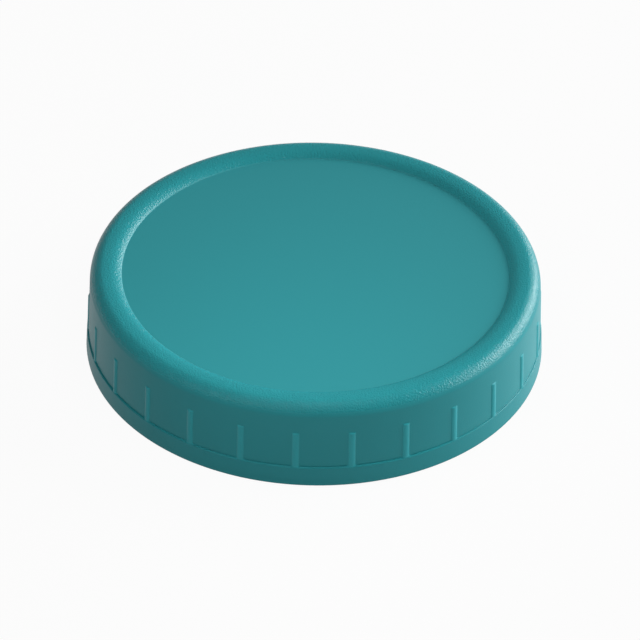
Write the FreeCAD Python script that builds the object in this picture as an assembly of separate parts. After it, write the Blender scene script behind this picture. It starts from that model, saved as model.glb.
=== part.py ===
import FreeCAD, Part
import math
import os

# A moulded plastic screw lid for a wide-mouth jar, in millimetres.
# The lid stands on its open mouth: Z is its axis, and Z = 0 is the plane of its foot.
# The first grip rib stands at rib_start, and X, Y and Z meet in the centre of the mouth.

# The jar's neck, and the room that the lid's wall leaves it on every side
jar_thread_diameter = 86.0     # across the glass thread
thread_clearance = 0.25        # to the wall between the turns of the lid's thread
lead_in_clearance = 0.75       # to the plain wall at the mouth, which finds the jar
lip_channel_width = 4.75       # from the thread's wall in to the panel's underside
lip_channel_depth = 1.0        # the jar's lip seats this far above that underside
lead_in_height = 3.6
lead_in_taper = 0.4            # height of the cone between lead-in and thread wall

# Outside of the lid
lid_height = 18.75         # foot to the crest of the rim
band_wall = 2.25           # the plain band at the foot is the widest part of the lid
band_height = 4.4
band_draft = 2.8           # degrees, so that the band leaves its mould
foot_bevel = 0.35          # outer edge of the foot
band_bevel = 0.25          # upper edge of the band
skirt_step = 0.3           # the skirt stands back from the band by this much
skirt_draft = 1.9          # degrees

# Rounded rim and the sunk panel inside it
rim_round = 2.8            # radius of the rim's outer side, from the skirt to the crest
rim_inner_width = 3.6      # crest to the edge of the panel
panel_depth = 1.1          # the panel lies this far below the crest
panel_thickness = 1.6

# Grip ribs
rib_count = 26
rib_start = -94.02         # degrees from +X to the middle of the first rib
rib_top = 12.5             # height of the ribs' square upper ends
rib_foot_width = 1.5       # where a rib grows out of the skirt
rib_face_width = 0.6       # its outer face
rib_end_slope = 0.25       # height of the slope that closes the upper end
rib_inset = 0.05           # the ribs' faces lie this far inside the band's
rib_root = 1.0             # how deep a rib is let into the wall

# Screw thread
thread_pitch = 5.08
thread_height = 1.15       # wall to crest
thread_root_width = 2.5
thread_crest_width = 0.9
thread_turns = 1.25
thread_clear = 0.5         # lead-in cone to the lowest edge of the thread
thread_start = -140.0      # degrees from +X
runout_angle = 24.0        # each end of the thread fades into the wall over this
thread_bite = 0.35         # how deep the thread's root is let into the wall

ORIGIN = FreeCAD.Vector(0, 0, 0)
UP = FreeCAD.Vector(0, 0, 1)

# Values that follow
thread_wall_radius = jar_thread_diameter / 2 + thread_clearance
lead_in_radius = jar_thread_diameter / 2 + lead_in_clearance
band_radius = lead_in_radius + band_wall
draft = math.radians(skirt_draft)
band_rise = band_height - band_bevel - foot_bevel
band_top_radius = band_radius - band_rise * math.tan(math.radians(band_draft))
skirt_foot_radius = band_top_radius - skirt_step
rim_centre_height = lid_height - rim_round
skirt_top = rim_centre_height + rim_round * math.sin(draft)
skirt_top_radius = skirt_foot_radius - (skirt_top - band_height) * math.tan(draft)
crest_radius = skirt_top_radius - rim_round * math.cos(draft)
panel_radius = crest_radius - rim_inner_width
panel_top = lid_height - panel_depth
panel_underside = panel_top - panel_thickness
channel_top = panel_underside + lip_channel_depth
channel_radius = thread_wall_radius - lip_channel_width
thread_crest_radius = thread_wall_radius - thread_height
thread_bottom = lead_in_height + lead_in_taper + thread_clear


def at(r, z):
    """A point of the lid's section: r out from the axis, z up from the foot."""
    return FreeCAD.Vector(r, 0, z)


def straight(*points):
    """Straight edges through the points, in order."""
    return [Part.LineSegment(a, b).toShape() for a, b in zip(points, points[1:])]


def arc(centre, radius, first, last):
    """The arc round the centre from one angle to another, in radians up from +X."""
    start, middle, end = (
        centre + at(radius * math.cos(angle), radius * math.sin(angle))
        for angle in (first, (first + last) / 2, last))
    return Part.Arc(start, middle, end).toShape()


def shell():
    """The moulded cup: band, skirt, rounded rim, sunk panel and the plain inside."""
    band_and_skirt = straight(
        at(lead_in_radius, 0),
        at(band_radius - foot_bevel, 0),
        at(band_radius, foot_bevel),
        at(band_top_radius, band_height - band_bevel),
        at(band_top_radius - band_bevel, band_height),
        at(skirt_foot_radius, band_height),
        at(skirt_top_radius, skirt_top))
    rim_outside = arc(at(crest_radius, rim_centre_height), rim_round, draft, math.pi / 2)
    # The rim's inner side is an arc too: level at the crest, and it ends on the panel's edge.
    inner_radius = (rim_inner_width ** 2 + panel_depth ** 2) / (2 * panel_depth)
    inner_turn = math.asin(rim_inner_width / inner_radius)
    rim_inside = arc(at(crest_radius, lid_height - inner_radius), inner_radius,
                     math.pi / 2, math.pi / 2 + inner_turn)
    panel_and_inside = straight(
        at(panel_radius, panel_top),
        at(0, panel_top),
        at(0, panel_underside),
        at(channel_radius, panel_underside),
        at(channel_radius, channel_top),
        at(thread_wall_radius, channel_top),
        at(thread_wall_radius, lead_in_height + lead_in_taper),
        at(lead_in_radius, lead_in_height),
        at(lead_in_radius, 0))
    outline = Part.Wire(band_and_skirt + [rim_outside, rim_inside] + panel_and_inside)
    return Part.Face(outline).revolve(ORIGIN, UP, 360)


def rib():
    """One grip rib at +X: a drafted bar that grows out of the skirt and ends in the band."""
    proud = skirt_step - rib_inset
    widening = (rib_foot_width - rib_face_width) / 2 / proud
    depth = proud + rib_root
    start = band_height - band_bevel
    # Each corner of the section runs up along the skirt's lean, to a sloping end.
    face_rise = rib_top - rib_end_slope - start
    back_rise = face_rise + depth * rib_end_slope / proud
    section = [(0, -1, face_rise), (0, 1, face_rise), (depth, 1, back_rise), (depth, -1, back_rise)]
    low, high = [], []
    for back, side, rise in section:
        across = side * (rib_face_width / 2 + back * widening)
        corner = FreeCAD.Vector(band_top_radius - rib_inset - back, across, start)
        low.append(corner)
        high.append(corner + FreeCAD.Vector(-rise * math.tan(draft), 0, rise))
    return block(low, high)


def block(low, high):
    """The solid between two outlines of as many corners, each side of it flat."""
    def flat(*corners):
        return Part.Face(Part.makePolygon([*corners, corners[0]]))
    count = len(low)
    sides = [flat(low[i], low[(i + 1) % count], high[(i + 1) % count], high[i]) for i in range(count)]
    return Part.Solid(Part.Shell([flat(*low), flat(*high)] + sides))


def ring_of_ribs():
    """Every rib, evenly round the skirt."""
    step = 360 / rib_count
    ribs = []
    for index in range(rib_count):
        copy = rib()
        copy.rotate(ORIGIN, UP, rib_start + index * step)
        ribs.append(copy)
    return ribs


def thread():
    """The helical ridge inside the wall, with both ends faded out into the wall."""
    turns_height = thread_turns * thread_pitch
    root = thread_wall_radius + thread_bite
    flank = (thread_root_width - thread_crest_width) / 2
    crest_half = thread_crest_width / 2
    root_half = thread_root_width / 2 + thread_bite * flank / thread_height
    middle = thread_bottom + thread_root_width / 2
    helix = Part.makeHelix(thread_pitch, turns_height, thread_wall_radius)
    helix.translate(FreeCAD.Vector(0, 0, middle))
    corners = [at(root, middle - root_half), at(thread_crest_radius, middle - crest_half),
               at(thread_crest_radius, middle + crest_half), at(root, middle + root_half)]
    profile = Part.makePolygon(corners + corners[:1])
    sweep = Part.BRepOffsetAPI.MakePipeShell(Part.Wire(helix.Edges))
    sweep.setFrenetMode(True)
    sweep.add(profile)
    sweep.build()
    sweep.makeSolid()
    ridge = sweep.shape()
    ends = [(0, middle), (360 * thread_turns, middle + turns_height)]
    for angle, height in ends:
        ridge = ridge.cut(runout_cutter(angle, height))
    ridge.rotate(ORIGIN, UP, thread_start)
    return ridge


def runout_cutter(angle, height):
    """A round bar that stands off the axis and shaves one end of the thread away.

    It reaches past the wall at the thread's end, and clears the crest runout_angle away.
    """
    reach = thread_wall_radius + thread_bite
    away = math.radians(runout_angle)
    crest = thread_crest_radius
    # The bar's edge meets both (reach, 0) and (crest, runout_angle), seen from the axis.
    offset = (reach ** 2 - crest ** 2) / (2 * (reach - crest * math.cos(away)))
    radius = reach - offset
    bar = Part.makeCylinder(radius, thread_pitch, FreeCAD.Vector(offset, 0, height - thread_pitch / 2))
    bar.rotate(ORIGIN, UP, angle)
    return bar


def lid():
    """The whole moulding, one solid."""
    body = shell().fuse(ring_of_ribs())
    body = body.fuse(thread())
    return body.removeSplitter()


os.makedirs("parts", exist_ok=True)
moulding = lid()
moulding.exportStep("parts/screw_lid.step")
box = moulding.optimalBoundingBox(False)
print("valid", moulding.isValid(), "solids", len(moulding.Solids), "faces", len(moulding.Faces))
print("size %.2f x %.2f x %.2f mm, volume %.2f cm3" % (
    box.XLength, box.YLength, box.ZLength, moulding.Volume / 1000))
print("crest radius %.2f, panel radius %.2f, skirt top radius %.2f" % (
    crest_radius, panel_radius, skirt_top_radius))
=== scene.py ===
# %% [markdown]
# The ribs also carry painted light: their teal is made lighter.
# A moulded screw lid, dressed for its portrait.
#
# The lid is one piece of polypropylene, a tough and slightly waxy plastic, shot into a steel
# mould. Nothing is painted or glued on it, so everything that the eye reads comes from three
# things: the fine rounds that the mould leaves on every edge, the finish of the steel in each
# zone (matt panel, grained rim, satin skirt), and one broad soft light from the right.
# The frame holds the lid's solid at its real size. This script lays a finer skin over it, with
# the same outline, gives the skin its plastic, and sets the table, the lamps and the camera.

import bpy
import numpy as np
from mathutils import Matrix, Vector


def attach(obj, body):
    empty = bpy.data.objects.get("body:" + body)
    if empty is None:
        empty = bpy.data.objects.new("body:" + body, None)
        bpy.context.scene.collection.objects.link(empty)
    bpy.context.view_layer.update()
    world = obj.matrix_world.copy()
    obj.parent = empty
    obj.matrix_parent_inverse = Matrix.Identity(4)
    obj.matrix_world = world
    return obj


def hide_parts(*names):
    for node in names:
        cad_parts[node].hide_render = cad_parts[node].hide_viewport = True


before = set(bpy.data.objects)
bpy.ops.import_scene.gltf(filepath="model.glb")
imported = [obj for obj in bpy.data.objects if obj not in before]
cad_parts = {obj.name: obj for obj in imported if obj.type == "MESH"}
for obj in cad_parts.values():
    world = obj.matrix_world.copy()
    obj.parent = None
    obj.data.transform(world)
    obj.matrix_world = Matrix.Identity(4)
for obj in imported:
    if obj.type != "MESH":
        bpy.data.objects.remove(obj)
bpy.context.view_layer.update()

MM = 0.001

# %% [markdown]
# The lid's own sizes, in millimetres.
#
# A moulding drawing gives the section of a lid once, and the section is turned round the axis.
# The sizes below are those of that drawing: the same driving sizes as the solid's, plus the
# small edge rounds that only a close look shows. Heights are measured up from the foot.

# %% Sizes
LID_HEIGHT = 18.75
BAND_RADIUS = 46.0

BAND_HEIGHT = 4.4
BAND_DRAFT = np.radians(2.8)
BAND_BEVEL = 0.25
FOOT_BEVEL = 0.35
SKIRT_STEP = 0.3
DRAFT = np.radians(1.9)
RIM_ROUND = 2.8
RIM_INNER_WIDTH = 3.6
PANEL_DEPTH = 1.1
PANEL_THICKNESS = 1.6

# Grip ribs
RIB_COUNT = 26
RIB_START = np.radians(-94.02)
RIB_TOP = 12.5
RIB_WIDTH = 1.5
RIB_END_SLOPE = 0.25
RIB_INSET = 0.05

# The inside
BAND_WALL = 2.25
LEAD_IN_HEIGHT = 3.6
LEAD_IN_STEP = 0.5
LEAD_IN_TAPER = 0.4
CHANNEL_WIDTH = 4.75
CHANNEL_DEPTH = 1.0

# The thread
THREAD_PITCH = 5.08
THREAD_HEIGHT = 1.15
THREAD_ROOT_WIDTH = 2.5
THREAD_CREST_WIDTH = 0.9
THREAD_TURNS = 1.25
THREAD_CLEAR = 0.5
THREAD_START = np.radians(-140.0)
THREAD_RUNOUT = np.radians(24.0)
THREAD_BITE = 0.35

# Rounds that only a close look shows
FOOT_ROUND = 0.35
BAND_ROUND = 0.27
PANEL_FILLET = 0.08
INSIDE_ROUND = 0.5
CHANNEL_ROUND = 0.35
MOUTH_ROUND = 0.2
# The hair line above the band
RELIEF_DEPTH = 0.12
RELIEF_HEIGHT = 0.3
# How steeply the rim's inner side ends at the panel: 2 would be close to an arc
INNER_SLOPE_POWER = 3.0

# Values that follow
LEAD_IN_RADIUS = BAND_RADIUS - BAND_WALL
THREAD_WALL_RADIUS = LEAD_IN_RADIUS - LEAD_IN_STEP
THREAD_BOTTOM = LEAD_IN_HEIGHT + LEAD_IN_TAPER + THREAD_CLEAR
CHANNEL_RADIUS = THREAD_WALL_RADIUS - CHANNEL_WIDTH
RIM_CENTRE_Z = LID_HEIGHT - RIM_ROUND
BAND_TOP_RADIUS = BAND_RADIUS - (BAND_HEIGHT - BAND_BEVEL - FOOT_BEVEL) * np.tan(BAND_DRAFT)
SKIRT_FOOT_RADIUS = BAND_TOP_RADIUS - SKIRT_STEP
SKIRT_TOP = RIM_CENTRE_Z + RIM_ROUND * np.sin(DRAFT)
SKIRT_TOP_RADIUS = SKIRT_FOOT_RADIUS - (SKIRT_TOP - BAND_HEIGHT) * np.tan(DRAFT)
CREST_RADIUS = SKIRT_TOP_RADIUS - RIM_ROUND * np.cos(DRAFT)
PANEL_RADIUS = CREST_RADIUS - RIM_INNER_WIDTH
PANEL_TOP = LID_HEIGHT - PANEL_DEPTH
PANEL_UNDERSIDE = PANEL_TOP - PANEL_THICKNESS
CHANNEL_TOP = PANEL_UNDERSIDE + CHANNEL_DEPTH

# The grain starts on the rim at this height, and is whole this much further up
GRAIN_FOOT = 16.9
GRAIN_FADE = 0.4
print("rim crest radius %.2f mm, panel radius %.2f mm" % (CREST_RADIUS, PANEL_RADIUS))

# %% [markdown]
# The section, as one line from the middle of the underside to the middle of the top.
#
# A section can be drawn by hand as a row of points, but then its rounds are only as good as the
# patience of whoever typed them. Here it is a chain of corners, and each corner has the radius
# that the tool maker would give it: the line is cut back on both sides of the corner and an arc
# of that radius joins the two ends. The rim is not a corner: it has an arc on its outer side
# and a curve of its own on its inner side.


# %% Section helpers
def rounded(corner, before, after, radius, steps):
    """Points of an arc of the radius that is tangent to both lines of a corner.

    The arc starts radius / tan(half the inner angle) before the corner. Its centre lies on the
    bisector, and the points turn evenly from one tangent point to the other.
    """
    corner, before, after = (np.asarray(p, float) for p in (corner, before, after))
    to_before = (before - corner) / np.linalg.norm(before - corner)
    to_after = (after - corner) / np.linalg.norm(after - corner)
    half = np.arccos(np.clip(to_before @ to_after, -1, 1)) / 2
    bisector = (to_before + to_after) / np.linalg.norm(to_before + to_after)
    centre = corner + bisector * radius / np.sin(half)
    start = corner + to_before * radius / np.tan(half) - centre
    end = corner + to_after * radius / np.tan(half) - centre
    turn = np.linspace(0, 1, steps + 1)[:, None]
    whole = np.pi - 2 * half
    return centre + (np.sin((1 - turn) * whole) * start + np.sin(turn * whole) * end) / np.sin(whole)


def arc_points(centre, radius, first, last, steps):
    """Points round the centre from one angle to another, both in radians up from outwards."""
    turn = np.linspace(first, last, steps + 1)
    return np.array(centre) + radius * np.stack([np.cos(turn), np.sin(turn)], 1)


def line_points(start, end, steps):
    """Evenly spaced points strictly between start and end."""
    share = np.linspace(0, 1, steps + 1)[1:-1, None]
    return np.array(start) * (1 - share) + np.array(end) * share


# %% [markdown]
# The four stretches of the section.
#
# The inside comes first: the panel's underside, the channel that the jar's lip seats in, the
# threaded wall and the plain lead-in. Then the outside: the foot, the band, the drafted skirt,
# the rim and the sunk panel. Rows of points lie close together only where the surface turns.
#
# Just above the band a hair line is sunk into the skirt, where two steels of the mould met. It
# could be drawn as a dark stripe, but a real groove a tenth of a millimetre deep darkens by
# itself, and only on the sides that are turned from the light. The rim's inner side falls
# slowly at the crest and ever more steeply towards the panel, as the height
# z = crest - depth * s ** power, with s running from 0 at the crest to 1 at the panel's edge.

# %% Section
THREAD_ROWS = 42
THREAD_MARGIN = 0.6        # the close rows start this far above the thread
END_BELOW, END_ABOVE = 0.35, 0.15   # and they lie close round the ribs' upper ends
THREAD_TOP = THREAD_BOTTOM + THREAD_TURNS * THREAD_PITCH + THREAD_ROOT_WIDTH + THREAD_MARGIN
SKIRT_FOOT = np.array((SKIRT_FOOT_RADIUS, BAND_HEIGHT))
SKIRT_END = np.array((SKIRT_TOP_RADIUS, SKIRT_TOP))


def skirt_at(height):
    """The point of the skirt's straight line at a height."""
    share = (height - BAND_HEIGHT) / (SKIRT_TOP - BAND_HEIGHT)
    return SKIRT_FOOT * (1 - share) + SKIRT_END * share


def underside():
    """From the axis out under the panel, up into the channel for the jar's lip, and across it."""
    middle = (0, PANEL_UNDERSIDE)
    panel = (CHANNEL_RADIUS, PANEL_UNDERSIDE)
    step = (CHANNEL_RADIUS, CHANNEL_TOP)
    wall = (THREAD_WALL_RADIUS, CHANNEL_TOP)
    down = (THREAD_WALL_RADIUS, 0)
    return [[middle], line_points(middle, panel, 4),
            rounded(panel, middle, step, CHANNEL_ROUND, 4),
            rounded(step, panel, wall, CHANNEL_ROUND, 3),
            rounded(wall, step, down, INSIDE_ROUND, 4)]


def inner_wall():
    """Down the threaded wall in even rows, over the cone, down the plain lead-in to the foot."""
    top = (THREAD_WALL_RADIUS, CHANNEL_TOP)
    cone_top = (THREAD_WALL_RADIUS, LEAD_IN_HEIGHT + LEAD_IN_TAPER)
    cone_foot = (LEAD_IN_RADIUS, LEAD_IN_HEIGHT)
    mouth = (LEAD_IN_RADIUS, 0)
    return [line_points((THREAD_WALL_RADIUS, THREAD_TOP), cone_top, THREAD_ROWS),
            rounded(cone_top, top, cone_foot, MOUTH_ROUND, 2),
            rounded(cone_foot, cone_top, mouth, MOUTH_ROUND, 2),
            rounded(mouth, cone_foot, (BAND_RADIUS, 0), MOUTH_ROUND, 3)]


def band_and_skirt():
    """Round the foot, up the band, over its edge and up the drafted skirt."""
    foot = (BAND_RADIUS + FOOT_ROUND * np.tan(BAND_DRAFT), 0)
    edge = (BAND_TOP_RADIUS, BAND_HEIGHT)
    relief = (SKIRT_FOOT_RADIUS - RELIEF_DEPTH, BAND_HEIGHT)
    clear = skirt_at(BAND_HEIGHT + RELIEF_HEIGHT)
    below, above = RIB_TOP - END_BELOW, RIB_TOP + END_ABOVE
    return [rounded(foot, (LEAD_IN_RADIUS, 0), edge, FOOT_ROUND, 4),
            rounded(edge, foot, relief, BAND_ROUND, 4), [relief],
            line_points(relief, clear, 2), [clear],
            line_points(clear, skirt_at(below), 4),
            [skirt_at(z) for z in np.linspace(below, above, 13)],
            line_points(skirt_at(above), SKIRT_END, 5)]


def rim_and_panel():
    """Over the rounded rim, down to the sunk panel and in to the axis.

    The rim's inner side is z = LID_HEIGHT - PANEL_DEPTH * s ** INNER_SLOPE_POWER, where s is
    the share of the way in from the crest to the panel's edge.
    """
    crest = (CREST_RADIUS, RIM_CENTRE_Z)
    share = np.linspace(0, 1, 15)[1:]
    slope = np.stack([CREST_RADIUS - RIM_INNER_WIDTH * share,
                      LID_HEIGHT - PANEL_DEPTH * share ** INNER_SLOPE_POWER], 1)
    panel_edge, middle = slope[-1], (0, PANEL_TOP)
    return [arc_points(crest, RIM_ROUND, DRAFT, np.pi / 2, 20), slope[:-1],
            rounded(panel_edge, slope[-2], middle, PANEL_FILLET, 3),
            line_points(panel_edge, middle, 4), [middle]]


stretches = underside() + inner_wall() + band_and_skirt() + rim_and_panel()
section = np.concatenate([np.atleast_2d(stretch) for stretch in stretches])
print("points in the section:", len(section))

# %% [markdown]
# Grip ribs, as a height on the skirt.
#
# Twenty-six bars stand on the skirt, almost as proud as the band. They could be separate boxes,
# but moulded ribs grow out of the wall: their faces are gently rounded and their feet are
# filleted. So the rib is a function. It is the lower of a round-faced bar and a sloped end,
# blended where they meet, and the wall is wherever the rib or the skirt lies further out.


# %% Ribs
RIB_EDGE = 0.18            # reach of the round between a rib's face and its end
RIB_BASE = 0.04            # reach of the fillet at its foot
RIB_MASK = 0.12            # a point that stands out this far is all rib
# Columns of points lie at these distances from a rib's middle line
RIB_HALF_STEPS = (0.0, 0.12, 0.24, 0.36, 0.48, 0.58, 0.66, 0.70, 0.74, 0.80, 1.4, 2.6, 4.0)


def smooth_min(a, b, reach):
    """The lower of a and b, with the corner between them rounded over the reach."""
    near = np.clip(reach - np.abs(a - b), 0, None) / reach
    return np.minimum(a, b) - near * near * reach / 4


def smooth_max(a, b, reach):
    """The higher of a and b, with the corner between them filled over the reach."""
    return -smooth_min(-a, -b, reach)


def rib_radius(across, height):
    """How far out the rib reaches at a distance from its middle line and a height.

    The bar's face is an arc: its crown is (width**2 / 4 + proud**2) / (2 * proud) in radius, so
    that the arc sinks into the skirt at half the width to either side of the middle line.
    """
    proud = SKIRT_STEP - RIB_INSET
    lean = np.tan(DRAFT)
    face = BAND_TOP_RADIUS - RIB_INSET - (height - BAND_HEIGHT) * lean
    crown = (RIB_WIDTH ** 2 / 4 + proud ** 2) / (2 * proud)
    bar = face - crown + np.sqrt(np.clip(crown ** 2 - across ** 2, 0, None))
    end = face - (height - RIB_TOP + RIB_END_SLOPE) * proud / RIB_END_SLOPE
    return smooth_min(bar, end, RIB_EDGE)


period = 2 * np.pi / RIB_COUNT
half = np.array(RIB_HALF_STEPS) / BAND_RADIUS
one_rib = np.concatenate([half, [period / 2], period - half[:0:-1]])
turns = RIB_START + (np.arange(RIB_COUNT)[:, None] * period + one_rib).ravel()
across = np.tile((one_rib + period / 2) % period - period / 2, RIB_COUNT) * BAND_RADIUS
print("columns round the lid:", len(turns))

# %% [markdown]
# The screw thread, as a height on the inner wall.
#
# One ridge climbs a turn and a quarter inside the wall. Its section is a trapezium with rounded
# corners, and at both ends a cutter with its centre off the axis has faded it into the wall, so
# that it starts on the jar without a snag. As with the ribs, the ridge is a function of angle
# and height, and the inner wall is pushed in by it.


# %% Thread
THREAD_EDGE = 0.3          # reach of the rounds at its crest
THREAD_FOOT = 0.2          # reach of the fillets at its root


def thread_height(angle, height):
    """How far the ridge stands in from the wall at an angle and a height.

    At a distance d above the helix, the trapezium is (half the root's width - d) times the
    flank's steepness, capped by the crest. The cap falls to nothing at both ends along the
    edge of a round bar that stands off the axis.
    """
    flank = (THREAD_ROOT_WIDTH - THREAD_CREST_WIDTH) / 2
    reach = THREAD_WALL_RADIUS + THREAD_BITE
    crest = THREAD_WALL_RADIUS - THREAD_HEIGHT
    offset = (reach ** 2 - crest ** 2) / (2 * (reach - crest * np.cos(THREAD_RUNOUT)))
    sweep = 2 * np.pi * THREAD_TURNS
    ridge = np.zeros(np.broadcast(angle, height).shape)
    for turn in range(2):
        along = (angle - THREAD_START) % (2 * np.pi) + turn * 2 * np.pi
        middle = THREAD_BOTTOM + THREAD_ROOT_WIDTH / 2 + THREAD_PITCH * along / (2 * np.pi)
        trapezium = (THREAD_ROOT_WIDTH / 2 - np.abs(height - middle)) * THREAD_HEIGHT / flank
        cap = THREAD_HEIGHT
        for end in (0, sweep):
            gone = np.clip(np.abs(along - end), 0, THREAD_RUNOUT)
            bar = offset * np.cos(gone) + np.sqrt((reach - offset) ** 2 - (offset * np.sin(gone)) ** 2)
            cap = np.minimum(cap, THREAD_WALL_RADIUS - bar)
        cap = np.where(along <= sweep, cap, 0)
        shape = smooth_min(trapezium, np.maximum(cap, 0), THREAD_EDGE)
        ridge = np.maximum(ridge, smooth_max(shape, 0 * shape, THREAD_FOOT) * (cap > 0))
    return ridge


# %% [markdown]
# The skin: one closed surface.
#
# Every row of the section goes once round, so the lid is a grid of angle by section point, and
# the two ends of the section close to a single point each. Where a rib covers the band's ledge,
# its rows are spread up the rib, or they would crowd into slivers. The shading normals are
# summed from the faces by area, so that a large flat face stays flat right up to its small
# round, as on a well-polished mould. The mesh also keeps, as the attribute "bar", how much of
# each point is rib, because the ribs get a lighter teal there, which is painted light.


# %% Skin
HAIR = 0.01                # for telling apart radii and heights that should be equal
COVERED = 0.04             # a rib hides the wall's own rows once it stands out this far
LEDGE_REACH = 2.0          # up to this far above the band they are spread under it
BELOW_END = 0.5            # and never into the close rows of the rib's upper end


def skin_grid():
    """Positions of all rows and columns, in millimetres, as arrays of radius and height.

    A third array says how much of each point is rib, from 0 to 1.
    """
    angle = turns[None, :]
    radius = np.repeat(section[:, :1], len(turns), 1)
    height = np.repeat(section[:, 1:], len(turns), 1)
    outside = (section[:, 0] > SKIRT_TOP_RADIUS - HAIR) & (section[:, 1] > FOOT_ROUND)
    first = np.flatnonzero(outside)[0]
    rows = np.flatnonzero(outside & (section[:, 1] < RIB_TOP - BELOW_END))
    spread = section[:, 1].copy()
    above_band = section[rows, 1] - BAND_HEIGHT
    ledge = rows[(above_band > -2 * BAND_ROUND) & (above_band < LEDGE_REACH)]
    spread[ledge] = np.linspace(spread[ledge[0]], spread[ledge[-1]], len(ledge))
    covered = np.clip((rib_radius(across, height) - radius) / COVERED, 0, 1)
    covered[:first] = 0
    covered[~outside] = 0
    height = height + covered * (spread[:, None] - height)
    over = smooth_max(radius, rib_radius(across, height), RIB_BASE)
    reaches = (outside & (section[:, 1] > BAND_HEIGHT - BAND_ROUND - HAIR))[:, None]
    on_rib = np.clip((over - radius) / RIB_MASK, 0, 1) * reaches
    radius = np.where(reaches & (over > radius), over, radius)
    inside = np.isclose(section[:, 0], THREAD_WALL_RADIUS) & (section[:, 1] < THREAD_TOP)
    ridge = thread_height(angle, height)
    radius = radius - np.where(inside[:, None], ridge, 0)
    return radius, height, on_rib


def skin_mesh(name):
    """A closed mesh of the grid: quads between rows, and a fan of triangles at each end."""
    radius, height, on_rib = (values[1:-1] for values in skin_grid())
    rows, columns = radius.shape
    points = np.stack([radius * np.cos(turns), radius * np.sin(turns), height], 2).reshape(-1, 3)
    ends = np.array([[0, 0, section[0, 1]], [0, 0, section[-1, 1]]])
    points = np.concatenate([points, ends]) * MM
    bottom, top = len(points) - 2, len(points) - 1

    index = np.arange(rows * columns).reshape(rows, columns)
    right = np.roll(index, -1, 1)
    quads = np.stack([index[:-1], right[:-1], right[1:], index[1:]], 2).reshape(-1, 4)
    low_fan = np.stack([np.full(columns, bottom), right[0], index[0]], 1)
    high_fan = np.stack([np.full(columns, top), index[-1], right[-1]], 1)

    mesh = bpy.data.meshes.new(name)
    mesh.from_pydata(points, [], quads.tolist() + low_fan.tolist() + high_fan.tolist())
    mesh.shade_smooth()
    mesh.normals_split_custom_set_from_vertices(area_normals(points, quads, low_fan, high_fan))
    bars = mesh.attributes.new("bar", "FLOAT", "POINT")
    bars.data.foreach_set("value", np.append(on_rib.ravel(), [0, 0]).astype(np.float32))
    return mesh


def area_normals(points, quads, *fans):
    """At each point, the sum of its faces' normals, each as long as its face is large."""
    total = np.zeros_like(points)
    faces = np.cross(points[quads[:, 2]] - points[quads[:, 0]], points[quads[:, 3]] - points[quads[:, 1]])
    for corner in range(4):
        np.add.at(total, quads[:, corner], faces)
    for fan in fans:
        faces = np.cross(points[fan[:, 1]] - points[fan[:, 0]], points[fan[:, 2]] - points[fan[:, 0]])
        for corner in range(3):
            np.add.at(total, fan[:, corner], faces)
    return total / np.linalg.norm(total, axis=1, keepdims=True)


moulding_mesh = skin_mesh("lid_moulding")
moulding = bpy.data.objects.new("lid_moulding", moulding_mesh)
bpy.context.scene.collection.objects.link(moulding)
triangles = sum(len(p.vertices) - 2 for p in moulding_mesh.polygons)
print("triangles in the skin:", triangles)

# %% [markdown]
# Where the steel is grained.
#
# A mould is finished zone by zone: the rim's cavity is spark-eroded to a fine grain, the panel
# is blasted matt and the skirt is stoned to a satin. A mask painted by hand could follow that,
# but the zones are rings, so each point of the section knows its zone. The values go into the
# mesh as two more attributes, which the material reads as amounts of grain and of matt finish.


# %% Zones
def zone_rows(inside_zone):
    """Repeats one value per section row round the lid, and adds the two end points."""
    body = np.repeat(inside_zone[1:-1, None], len(turns), 1).ravel()
    return np.concatenate([body, inside_zone[[0, -1]]]).astype(np.float32)


ZONE_EDGE = PANEL_RADIUS + 0.05     # the panel's fillet belongs to the grain's zone up to here
section_r, section_z = section.T
is_top = np.arange(len(section)) > np.flatnonzero(section_z < HAIR)[-1]
grown = np.clip((section_z - GRAIN_FOOT) / GRAIN_FADE, 0, 1)
grain = grown * (is_top & (section_r > ZONE_EDGE))
matt = (is_top & (section_r < ZONE_EDGE)).astype(float)
for name, values in (("grain", grain), ("matt", matt)):
    attribute = moulding_mesh.attributes.new(name, "FLOAT", "POINT")
    attribute.data.foreach_set("value", zone_rows(values))
print("grained rows:", int(grain.sum()), "matt rows:", int(matt.sum()))

# %% [markdown]
# Moulded polypropylene.
#
# The plastic is coloured right through, so its colour is even, and its surface is a copy of the
# steel. Spark-eroded steel is a field of tiny craters about a tenth of a millimetre wide. They
# are drawn about four times as wide, because at true size they would be lost in the picture,
# and they break the highlight on the rim into sparks. The skirt is rougher and keeps only a
# soft sheen. The panel is rougher still, and spreads its light so widely that it shows almost
# no reflection at all.
# The ribs are painted a shade lighter than the wall. This is painted light: it stands in for the
# light that such a thin bar takes in by its flanks and gives out through its face.


# %% Material
def linear(hex_colour):
    """An sRGB hex colour as linear red, green, blue and full alpha."""
    values = np.array([int(hex_colour[i:i + 2], 16) for i in (1, 3, 5)]) / 255
    values = np.where(values <= 0.04045, values / 12.92, ((values + 0.055) / 1.055) ** 2.4)
    return (*values, 1.0)


def add(tree, kind, links=None, **settings):
    """Adds a node: settings are its own values or its sockets' values, links go to sockets."""
    node = tree.nodes.new(kind)
    for key, value in settings.items():
        if hasattr(node, key):
            setattr(node, key, value)
        else:
            node.inputs[int(key[1:]) if key[1:].isdigit() else key.replace("_", " ")].default_value = value
    for key, source in (links or {}).items():
        tree.links.new(source, node.inputs[key])
    return node


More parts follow.
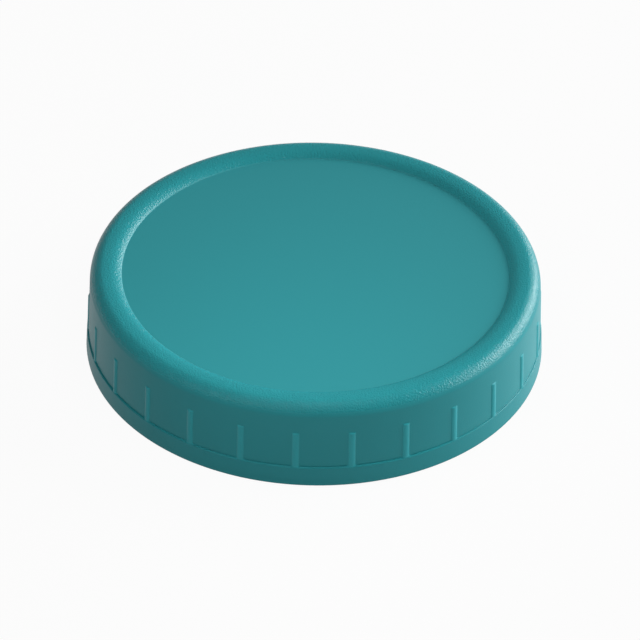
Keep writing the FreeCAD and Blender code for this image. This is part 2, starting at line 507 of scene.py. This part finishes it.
TEAL = "#289198"
# painted light: the ribs' lighter teal stands in for light they catch, not for a colour of the plastic
RIB_TEAL_PAINTED_LIGHT = "#30a3ab"       # lighter, by the light that enters a rib's flanks
GRAIN_MM, GRAIN_DEPTH_MM = 0.36, 0.14      # craters of the rim: they scatter its highlight
FINE_MM, FINE_DEPTH_MM = 0.22, 0.012       # unevenness everywhere: it keeps the sheen alive
SKIRT_ROUGHNESS = 0.36     # a soft sheen
RIM_ROUGHNESS = 0.25       # smooth between the craters, so the highlight is narrow
PANEL_EXTRA_ROUGHNESS = 0.2
SKIRT_SPECULAR = 0.22      # the skirt stays deep in colour, with little veil of the white room
PANEL_SPECULAR = 0.5       # the plain value of a plastic
RIM_SHARE = 0.28           # the rim lies this far from the skirt's value to the panel's


def moulded_polypropylene():
    """One shader: an even teal with painted light on the ribs, and roughness and bump set by the zone of
    the mould.
    """
    material = bpy.data.materials.new("moulded polypropylene")
    material.use_nodes = True
    tree = material.node_tree
    tree.nodes.clear()
    place = add(tree, "ShaderNodeTexCoord").outputs["Object"]
    grain_amount = add(tree, "ShaderNodeAttribute", attribute_name="grain").outputs["Fac"]
    matt_amount = add(tree, "ShaderNodeAttribute", attribute_name="matt").outputs["Fac"]
    painted_rib_light_amount = add(tree, "ShaderNodeAttribute", attribute_name="bar").outputs["Fac"]

    craters = add(tree, "ShaderNodeTexNoise", {"Vector": place},
                  Scale=1 / (GRAIN_MM * MM), Detail=1.0, Roughness=0.6)
    fine = add(tree, "ShaderNodeTexNoise", {"Vector": place},
               Scale=1 / (FINE_MM * MM), Detail=1.0, Roughness=0.5)
    level = add(tree, "ShaderNodeMath", {0: craters.outputs["Fac"]}, operation="SUBTRACT")
    level.inputs[1].default_value = 0.5
    spark = add(tree, "ShaderNodeMath", {0: level.outputs[0], 1: grain_amount}, operation="MULTIPLY")
    grained = add(tree, "ShaderNodeBump", {"Height": spark.outputs[0]},
                  Strength=1.0, Distance=GRAIN_DEPTH_MM * MM)
    satin = add(tree, "ShaderNodeBump",
                {"Height": fine.outputs["Fac"], "Normal": grained.outputs["Normal"]},
                Strength=1.0, Distance=FINE_DEPTH_MM * MM)

    smoother_rim = add(tree, "ShaderNodeMapRange", {"Value": grain_amount},
                       To_Min=SKIRT_ROUGHNESS, To_Max=RIM_ROUGHNESS)
    to_matt = add(tree, "ShaderNodeMath", {0: matt_amount}, operation="MULTIPLY")
    to_matt.inputs[1].default_value = PANEL_EXTRA_ROUGHNESS
    roughness = add(tree, "ShaderNodeMath",
                    {0: smoother_rim.outputs["Result"], 1: to_matt.outputs[0]}, operation="ADD")
    # painted light: each point takes the lighter rib teal by its share of rib
    body = add(tree, "ShaderNodeMix", {0: painted_rib_light_amount}, data_type="RGBA",
               _6=linear(TEAL), _7=linear(RIB_TEAL_PAINTED_LIGHT))
    sheen = add(tree, "ShaderNodeMath", {0: grain_amount, 2: matt_amount}, operation="MULTIPLY_ADD")
    sheen.inputs[1].default_value = RIM_SHARE
    veil = add(tree, "ShaderNodeMapRange", {"Value": sheen.outputs[0]},
               To_Min=SKIRT_SPECULAR, To_Max=PANEL_SPECULAR)
    plastic = add(tree, "ShaderNodeBsdfPrincipled",
                  {"Roughness": roughness.outputs[0], "Normal": satin.outputs["Normal"],
                   "Specular IOR Level": veil.outputs["Result"], "Base Color": body.outputs[2]},
                  IOR=1.49)
    add(tree, "ShaderNodeOutputMaterial", {"Surface": plastic.outputs[0]})
    return material


moulding_mesh.materials.append(moulded_polypropylene())
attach(moulding, "root")
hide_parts("screw_lid")
print("material:", moulding_mesh.materials[0].name)

# %% [markdown]
# The table.
#
# The lid stands on a sheet of matt pale paper, large enough to fill the picture. To the camera
# the paper is nearly all a plain white of strength 1, with a small share of its real lit self,
# so that the background is white and the lid's shadow still lies on it. Reflections see a
# share of the same white. The light that it throws on the lid comes from the paper alone.


# %% Table
CAMERA_WHITE = 0.95        # share of plain white that the camera sees in the paper
MIRROR_WHITE = 0.6         # and that a reflection sees in it
PAPER = "#c4c4c4"
TABLE_SIZE = 3.0           # metres
TABLE_HEIGHT = -0.05 * MM  # a hair below the foot, so that the two faces don't meet


def table(size, height):
    """A square sheet a hair below the lid's foot, facing up."""
    corners = [(x * size / 2, y * size / 2, height) for x, y in ((-1, -1), (1, -1), (1, 1), (-1, 1))]
    mesh = bpy.data.meshes.new("table")
    mesh.from_pydata(corners, [], [(0, 1, 2, 3)])
    material = bpy.data.materials.new("matt paper")
    material.use_nodes = True
    tree = material.node_tree
    tree.nodes.clear()
    path = add(tree, "ShaderNodeLightPath").outputs
    mirrored = add(tree, "ShaderNodeMath", {0: path["Is Glossy Ray"], 1: path["Is Transmission Ray"]},
                   operation="MAXIMUM")
    in_camera = add(tree, "ShaderNodeMath", {0: path["Is Camera Ray"]}, operation="MULTIPLY")
    in_camera.inputs[1].default_value = CAMERA_WHITE
    in_mirror = add(tree, "ShaderNodeMath", {0: mirrored.outputs[0]}, operation="MULTIPLY")
    in_mirror.inputs[1].default_value = MIRROR_WHITE
    share = add(tree, "ShaderNodeMath", {0: in_camera.outputs[0], 1: in_mirror.outputs[0]},
                operation="MAXIMUM")
    paper = add(tree, "ShaderNodeBsdfDiffuse", Color=linear(PAPER))
    white = add(tree, "ShaderNodeEmission", Strength=1.0)
    mixed = add(tree, "ShaderNodeMixShader",
                {0: share.outputs[0], 1: paper.outputs[0], 2: white.outputs[0]})
    add(tree, "ShaderNodeOutputMaterial", {"Surface": mixed.outputs[0]})
    mesh.materials.append(material)
    sheet = bpy.data.objects.new("table", mesh)
    bpy.context.scene.collection.objects.link(sheet)
    return sheet


table(TABLE_SIZE, TABLE_HEIGHT)

# %% [markdown]
# Soft studio light.
#
# The picture has one broad light low at the right, which whitens the right of the skirt and the
# rim's slopes that face it. A single square lamp would end too soon, so it stands between two
# wings that carry the light further round. A weak fill keeps the left side open. Two small lamps
# stand close to the front edge, one above it and one before it: they give the panel its gentle
# rise in brightness towards the front, and the skirt its rise towards the rim. They stay out of
# reflections, where they would show as spots.


# %% Lamps
def soft_lamp(name, azimuth, elevation, distance, side, radiance):
    """A square area lamp at a direction seen from the lid, turned to face it.

    Azimuth is in degrees from +X to +Y. The power is radiance times pi times the lamp's area.
    """
    a, e = np.radians((azimuth, elevation))
    place = Vector((np.cos(e) * np.cos(a), np.cos(e) * np.sin(a), np.sin(e))) * distance
    data = bpy.data.lights.new(name, "AREA")
    data.shape, data.size = "SQUARE", side
    data.energy = radiance * np.pi * side ** 2
    lamp = bpy.data.objects.new(name, data)
    lamp.location = place
    lamp.rotation_euler = place.to_track_quat("Z", "Y").to_euler()
    bpy.context.scene.collection.objects.link(lamp)
    return lamp


FAR, BOX = 0.9, 0.45       # metres from the lid, and along the side of a lamp
NEAR, PANE = 0.118, 0.05
WORLD_STRENGTH = 0.16      # the pale room, everywhere a little

soft_lamp("soft box", 20, 25, FAR, BOX, 8.7)
soft_lamp("soft box, back wing", 45, 12, FAR, BOX, 6.5)
soft_lamp("soft box, front wing", 0, 12, FAR, BOX, 4.5)
soft_lamp("left fill", 225, 35, FAR, BOX, 1.4)
near = soft_lamp("near fill", -92, 68, NEAR, PANE, 4.6)
front = soft_lamp("near front fill", -95, 42, NEAR, PANE, 1.1)
near.visible_glossy = front.visible_glossy = False

world = bpy.data.worlds.new("studio")
world.use_nodes = True
world.node_tree.nodes["Background"].inputs["Color"].default_value = linear("#ffffff")
world.node_tree.nodes["Background"].inputs["Strength"].default_value = WORLD_STRENGTH
bpy.context.scene.world = world

# %% [markdown]
# The camera.
#
# The photo is taken from far off with a long lens, 37 degrees above the table. These values come
# from the edges that the photo shows: the outlines of the rim, the band and the panel, and the
# middle lines of the twelve ribs.

# %% Camera
ELEVATION, ROLL = np.radians((37.24, 1.15))
DISTANCE = 0.9482          # metres from the middle of the lid
LOOK_HEIGHT = 9.2 * MM     # where that middle is
FOCAL_PIXELS = 4714.9      # focal length in pixels of a picture this many pixels wide
IMAGE_PIXELS = 640
AIM_RIGHT, AIM_DOWN = 5.14, 14.49      # pixels from the middle of the lid to that of the picture
SENSOR_WIDTH = 36.0        # millimetres
NEAREST = 0.1              # metres

back = Vector((0, -np.cos(ELEVATION), np.sin(ELEVATION)))
right = Vector((1, 0, 0))
up = back.cross(right)
right, up = (right * np.cos(ROLL) + up * np.sin(ROLL), up * np.cos(ROLL) - right * np.sin(ROLL))
eye = Vector((0, 0, LOOK_HEIGHT)) + back * DISTANCE
aim = Vector((0, 0, LOOK_HEIGHT)) + (right * AIM_RIGHT - up * AIM_DOWN) * DISTANCE / FOCAL_PIXELS
back = (eye - aim).normalized()
right = up.cross(back).normalized()
up = back.cross(right)
camera_data = bpy.data.cameras.new("camera")
camera_data.sensor_width = SENSOR_WIDTH
camera_data.lens = FOCAL_PIXELS * camera_data.sensor_width / IMAGE_PIXELS
camera_data.clip_start = NEAREST
camera = bpy.data.objects.new("camera", camera_data)
camera.matrix_world = Matrix((right, up, back)).transposed().to_4x4()
camera.location = eye
bpy.context.scene.collection.objects.link(camera)
bpy.context.scene.camera = camera
bpy.context.scene.view_settings.view_transform = "Standard"
print("lens %.1f mm at %.2f m" % (camera_data.lens, DISTANCE))
